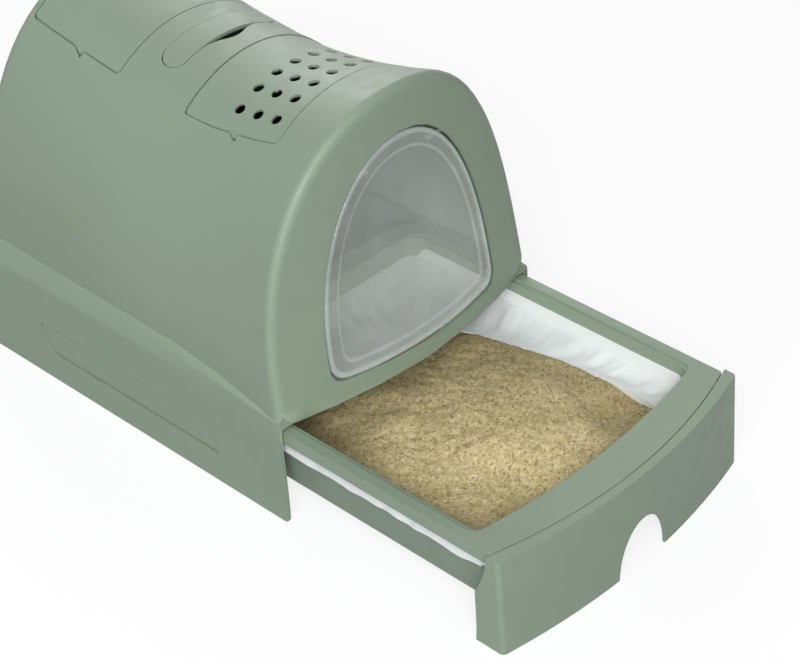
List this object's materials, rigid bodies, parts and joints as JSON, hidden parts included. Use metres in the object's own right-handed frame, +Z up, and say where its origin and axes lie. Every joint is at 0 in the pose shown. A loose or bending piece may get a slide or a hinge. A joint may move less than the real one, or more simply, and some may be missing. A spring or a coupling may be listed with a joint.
{
  "type": "drawer litter box",
  "caption": "Arched litter box hood with a clear swinging door, roof lids and a carrying strap over a slide-out litter drawer.",
  "frame": {"origin": "on the floor, under the middle of the hood's footprint", "axes": "+X to the right seen from the front, -Y to the front where the drawer comes out, +Z up"},
  "size_m": [0.4, 0.7875, 0.4151],
  "materials": {
    "sage_shell": "fine satin moulded plastic",
    "sage_inner": "satin moulded plastic, a little darker",
    "dark_base": "satin moulded plastic",
    "clear_door": "clear polished plastic",
    "carbon": "needled felt",
    "liner_film": "thin white film bag with soft folds",
    "litter": "dry tan granules",
    "screw": "zinc plated"
  },
  "bodies": {
    "housing": {"hood_shell": "sage_shell", "base_pan": "dark_base", "base_screws": "screw", "flap_bearings": "sage_shell", "filter_well": "sage_inner", "carbon_filter": "carbon", "storage_bin": "sage_inner", "strap_well": "sage_inner"},
    "door": {"door_flap": "clear_door"},
    "filter_lid": {"vented_lid": "sage_shell"},
    "store_lid": {"storage_lid": "sage_shell"},
    "strap": {"carry_strap": "sage_shell"},
    "drawer": {"drawer_tray": "sage_inner", "drawer_front": "sage_shell", "panel_screws": "screw", "litter_frame": "sage_shell", "liner_bag": "liner_film", "litter_bed": "litter"}
  },
  "joints": [
    {"name": "door_swing", "type": "hinge", "parent": "housing", "child": "door", "pos_m": [0, -0.20245, 0.3373], "axis": [1, 0, 0], "range_deg": [-60, 60]},
    {"name": "filter_lid_hinge", "type": "hinge", "parent": "housing", "child": "filter_lid", "pos_m": [0.08813, -0.135, 0.36818], "axis": [0, 0.9926, -0.1214], "range_deg": [0, 100]},
    {"name": "store_lid_hinge", "type": "hinge", "parent": "housing", "child": "store_lid", "pos_m": [0.08822, 0.094, 0.36029], "axis": [0, 0.9878, 0.1558], "range_deg": [0, 100]},
    {"name": "strap_lift", "type": "slide", "parent": "housing", "child": "strap", "axis": [0, 0, 1], "range_m": [0, 0.02]},
    {"name": "drawer_slide", "type": "slide", "parent": "housing", "child": "drawer", "axis": [0, -1, 0], "range_m": [-0.248, 0.2]}
  ]
}
